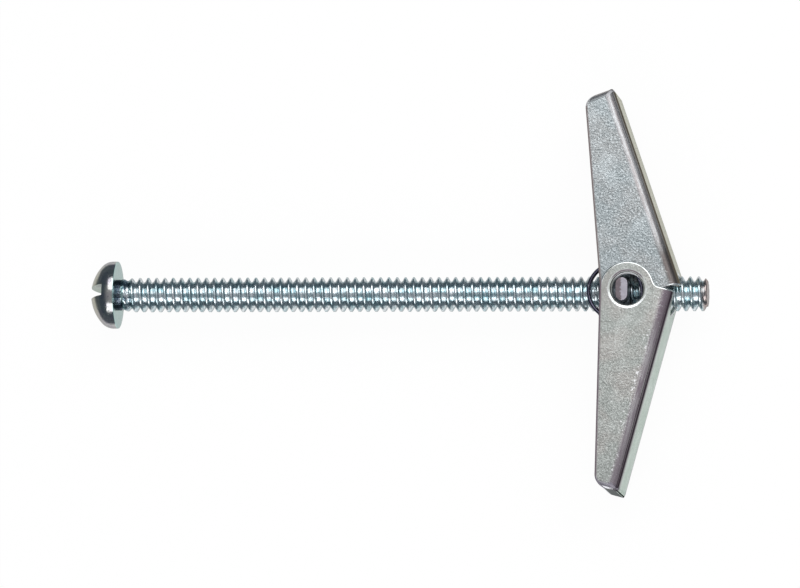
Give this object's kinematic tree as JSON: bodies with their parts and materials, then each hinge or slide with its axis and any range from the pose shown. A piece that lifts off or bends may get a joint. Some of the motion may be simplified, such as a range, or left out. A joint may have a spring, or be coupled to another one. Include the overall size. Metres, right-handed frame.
{
  "type": "spring toggle bolt",
  "caption": "Spring toggle bolt: slotted round-head machine screw, trunnion nut and sprung channel wings that fold to pass a hole and open behind a hollow wall",
  "frame": {"origin": "centre of the bearing face under the screw's head, on the screw's axis", "axes": "+X along the screw from its head to its tail, +Y towards the upper wing, +Z along the wings' hinge axis, which is upright as the part lies"},
  "size_m": [0.0784, 0.0507, 0.0108],
  "materials": {
    "screw_zinc": "bright zinc plating with a bluish cast",
    "nut_zinc": "bright zinc plating",
    "upper_wing_zinc": "zinc-plated sheet with a fine sparkle",
    "lower_wing_zinc": "zinc-plated sheet, smooth and slightly warm",
    "spring_wire": "dark spring wire"
  },
  "bodies": {
    "screw": {"bolt": "screw_zinc"},
    "nut": {"trunnion_nut": "nut_zinc", "spring": "spring_wire"},
    "wing_upper": {"upper_wing": "upper_wing_zinc"},
    "wing_lower": {"lower_wing": "lower_wing_zinc"}
  },
  "joints": [
    {"name": "toggle_travel", "type": "slide", "parent": "screw", "child": "nut", "axis": [1, 0, 0], "range_m": [-0.039, 0.0095]},
    {"name": "upper_wing_fold", "type": "hinge", "parent": "nut", "child": "wing_upper", "pos_m": [0.0654, 0, 0], "axis": [0, 0, 1], "range_deg": [0, 70.5], "stiffness_Nm_per_rad": 0.01, "springref_deg": -85.94, "deforming": ["spring"]},
    {"name": "lower_wing_fold", "type": "hinge", "parent": "nut", "child": "wing_lower", "pos_m": [0.0654, 0, 0], "axis": [0, 0, -1], "range_deg": [0, 75], "stiffness_Nm_per_rad": 0.01, "springref_deg": -85.94, "deforming": ["spring"]}
  ]
}
